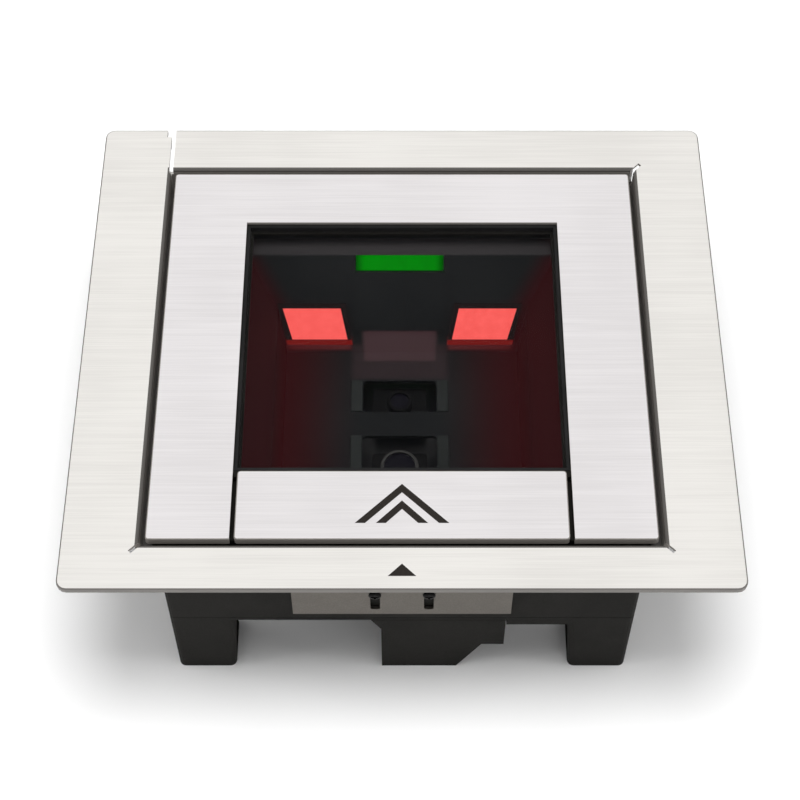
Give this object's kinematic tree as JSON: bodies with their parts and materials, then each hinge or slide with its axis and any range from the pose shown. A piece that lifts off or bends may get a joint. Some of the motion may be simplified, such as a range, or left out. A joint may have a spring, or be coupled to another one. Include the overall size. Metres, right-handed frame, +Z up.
{
  "type": "flatbed barcode scanner",
  "caption": "Single-plane in-counter barcode scanner: steel top frame and lift-out platter with a window over lit optics, on a black legged body.",
  "frame": {"origin": "centre of the bounding box's bottom, on the plane that the four legs stand on", "axes": "+X to the right along the longest side, +Y away from the cashier, +Z up through the window"},
  "size_m": [0.292, 0.254, 0.102],
  "materials": {
    "steel": "brushed",
    "platter_steel": "brushed",
    "grey_steel": "satin",
    "zinc": "plated",
    "black_screw": "black oxide",
    "black_plastic": "fine grain",
    "inner_black": "matte",
    "rubber": "matte",
    "window_glass": "polished",
    "lens_glass": "coated",
    "red_lens": "lit diffuser",
    "green_lens": "lit light guide",
    "board": "solder mask",
    "led_package": "ceramic"
  },
  "bodies": {
    "base": {"top_frame": "steel", "chassis": "black_plastic", "leg_frame": "black_plastic", "cable_foot": "black_plastic", "bottom_cover": "black_plastic", "front_bracket": "grey_steel", "bracket_screw_1": "black_screw", "bracket_screw_2": "black_screw", "frame_screw_1": "zinc", "frame_screw_2": "zinc", "frame_screw_3": "zinc", "frame_screw_4": "zinc", "optics_tub": "inner_black", "tub_screw_1": "zinc", "tub_screw_2": "zinc", "tub_screw_3": "zinc", "tub_screw_4": "zinc", "status_light_bar": "green_lens", "status_board": "board", "centre_baffle": "inner_black", "led_window_left": "red_lens", "led_window_right": "red_lens", "led_bezel_left": "inner_black", "led_bezel_right": "inner_black", "led_board_left": "board", "led_board_right": "board", "led_left_1": "led_package", "led_left_2": "led_package", "led_right_1": "led_package", "led_right_2": "led_package", "camera_holder_back": "inner_black", "camera_holder_front": "inner_black", "lens_barrel_back": "inner_black", "lens_barrel_front": "inner_black", "front_lens_back": "lens_glass", "front_lens_front": "lens_glass", "main_board": "board", "board_screw_1": "zinc", "board_screw_2": "zinc", "board_screw_3": "zinc", "board_screw_4": "zinc", "processor_can": "zinc", "data_port": "inner_black", "power_port": "inner_black", "speaker": "zinc", "cover_screw_1": "zinc", "cover_screw_2": "zinc", "cover_screw_3": "zinc", "cover_screw_4": "zinc"},
    "platter": {"platter_plate": "platter_steel", "platter_carrier": "black_plastic", "window_glass": "window_glass", "window_gasket": "rubber", "platter_pad_1": "rubber", "platter_pad_2": "rubber", "platter_pad_3": "rubber", "platter_pad_4": "rubber"},
    "tile": {"chevron_tile": "platter_steel", "tile_slider": "black_plastic"}
  },
  "joints": [
    {"name": "platter_lift", "type": "slide", "parent": "base", "child": "platter", "axis": [0, 0, 1], "range_m": [0, 0.06]},
    {"name": "tile_slide", "type": "slide", "parent": "platter", "child": "tile", "axis": [0, 1, 0], "range_m": [0, 0.006]}
  ]
}
